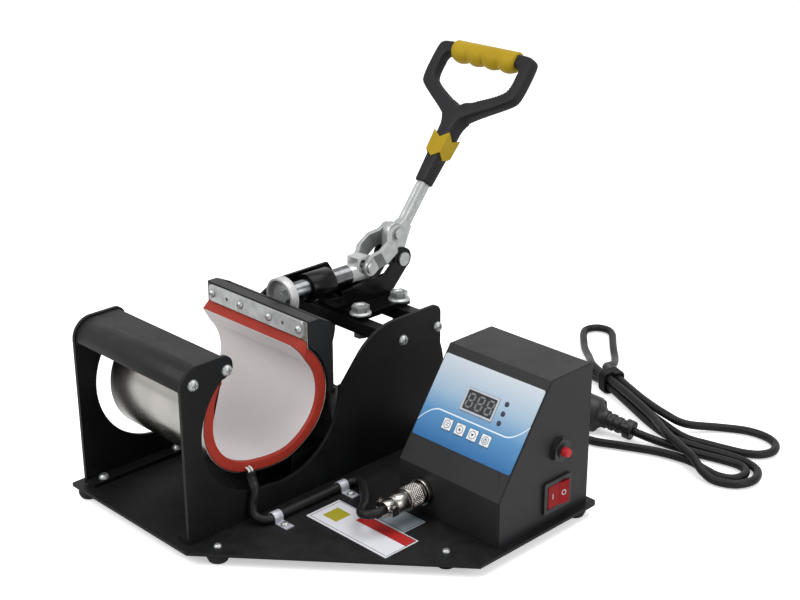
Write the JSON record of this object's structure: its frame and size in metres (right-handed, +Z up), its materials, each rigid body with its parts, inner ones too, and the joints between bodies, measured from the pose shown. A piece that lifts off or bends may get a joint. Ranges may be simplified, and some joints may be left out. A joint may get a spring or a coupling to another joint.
{
  "type": "mug heat press",
  "caption": "Bench heat press for mugs: a wrap heater in a black steel stand, closed by a swing handle toggle clamp, with a sloped control box and a hanked mains cord.",
  "frame": {"origin": "centre of the machine's box on the floor, its mains cord and plug left out", "axes": "+X to the operator's right, +Y to the back, +Z up"},
  "size_m": [0.3725, 0.5624, 0.3093],
  "materials": {
    "powder_black": "satin powder coat",
    "foot_rubber": "matte",
    "zinc": "zinc plated",
    "chrome": "polished",
    "band_steel": "brushed",
    "silicone_red": "matte silicone",
    "facing_grey": "smooth coated cloth",
    "cable_black": "satin",
    "nickel": "satin nickel",
    "panel_blue": "printed film",
    "display_dark": "gloss",
    "bezel_grey": "satin",
    "lamp_blue": "gloss",
    "board_green": "matte",
    "key_silver": "satin",
    "switch_black": "satin",
    "switch_red": "gloss",
    "grip_charcoal": "fine texture",
    "grip_yellow": "soft matte",
    "sticker_white": "printed film"
  },
  "bodies": {
    "frame": {"base_plate": "powder_black", "rubber_feet": "foot_rubber", "base_screws": "zinc", "side_plate_left": "powder_black", "side_plate_right": "powder_black", "front_cover": "powder_black", "plate_screws": "zinc", "cross_bar_front": "powder_black", "cross_bar_rear": "powder_black", "slide_table": "powder_black", "clamp_body": "powder_black", "clamp_bolts": "zinc", "pivot_pin": "zinc", "heater_band": "band_steel", "heater_mat": "silicone_red", "heater_facing": "facing_grey", "front_strip": "zinc", "front_strip_screws": "zinc", "heater_lead": "silicone_red", "heater_cable": "cable_black", "cable_clips": "zinc", "plug_shell": "nickel", "plug_clamp": "nickel", "socket": "nickel", "box_shell": "powder_black", "box_tray": "powder_black", "panel_label": "panel_blue", "display": "display_dark", "display_bezel": "bezel_grey", "lamps": "lamp_blue", "circuit_board": "board_green", "breaker_body": "switch_black", "breaker_nut": "switch_black", "switch_housing": "switch_black", "cord_gland": "cable_black", "power_cord": "cable_black", "cord_tie": "cable_black", "mains_plug": "switch_black", "base_stickers": "sticker_white"},
    "handle": {"handle_bar": "zinc", "link_pin": "zinc", "grip_frame": "grip_charcoal", "grip_sleeve": "grip_yellow", "collar_band": "grip_yellow"},
    "links": {"link_arms": "zinc"},
    "plunger": {"plunger": "chrome"},
    "pressure_cup": {"pressure_cup": "zinc"},
    "press": {"press_block": "powder_black", "press_saddle": "powder_black", "press_strip": "zinc", "strip_screws": "zinc", "carriage": "powder_black", "guide_studs": "zinc"},
    "rocker": {"rocker": "switch_red"},
    "breaker_button": {"breaker_button": "switch_red"},
    "key_1": {"key_1": "key_silver"},
    "key_2": {"key_2": "key_silver"},
    "key_3": {"key_3": "key_silver"},
    "key_4": {"key_4": "key_silver"},
    "coupling_nut": {"coupling_nut": "nickel"}
  },
  "joints": [
    {"name": "handle_swing", "type": "hinge", "parent": "frame", "child": "handle", "pos_m": [-0.08265, 0.07892, 0.149], "axis": [1, 0, 0], "range_deg": [0, 90]},
    {"name": "link_swing", "type": "hinge", "parent": "handle", "child": "links", "pos_m": [-0.08265, 0.07892, 0.17], "axis": [1, 0, 0], "range_deg": [-121.75, 0]},
    {"name": "plunger_slide", "type": "slide", "parent": "frame", "child": "plunger", "axis": [0, -1, 0], "range_m": [0, 0.02698]},
    {"name": "press_slide", "type": "slide", "parent": "frame", "child": "press", "axis": [0, -1, 0], "range_m": [0, 0.02698], "deforming": ["heater_band", "heater_mat", "heater_facing"]},
    {"name": "cup_turn", "type": "hinge", "parent": "plunger", "child": "pressure_cup", "pos_m": [-0.08265, -0.04008, 0.145], "axis": [0, 1, 0], "continuous": true},
    {"name": "coupling_turn", "type": "hinge", "parent": "frame", "child": "coupling_nut", "pos_m": [0.0701, -0.05208, 0.0294], "axis": [0, 1, 0], "continuous": true},
    {"name": "switch_rock", "type": "hinge", "parent": "frame", "child": "rocker", "pos_m": [0.1469, 0.02542, 0.0325], "axis": [0, 0, 1], "range_deg": [0, 14]},
    {"name": "breaker_push", "type": "slide", "parent": "frame", "child": "breaker_button", "axis": [-1, 0, 0], "range_m": [0, 0.003], "stiffness_N_per_m": 250},
    {"name": "key_1_push", "type": "slide", "parent": "frame", "child": "key_1", "axis": [0, 0.8226, -0.5686], "range_m": [0, 0.0008], "stiffness_N_per_m": 300},
    {"name": "key_2_push", "type": "slide", "parent": "frame", "child": "key_2", "axis": [0, 0.8226, -0.5686], "range_m": [0, 0.0008], "stiffness_N_per_m": 300},
    {"name": "key_3_push", "type": "slide", "parent": "frame", "child": "key_3", "axis": [0, 0.8226, -0.5686], "range_m": [0, 0.0008], "stiffness_N_per_m": 300},
    {"name": "key_4_push", "type": "slide", "parent": "frame", "child": "key_4", "axis": [0, 0.8226, -0.5686], "range_m": [0, 0.0008], "stiffness_N_per_m": 300}
  ],
  "couplings": [
    {"joint": "plunger_slide", "follows": "handle_swing", "m_per_rad": 0.017163},
    {"joint": "press_slide", "follows": "handle_swing", "m_per_rad": 0.017163},
    {"joint": "link_swing", "follows": "handle_swing", "ratio": -1.3522}
  ]
}
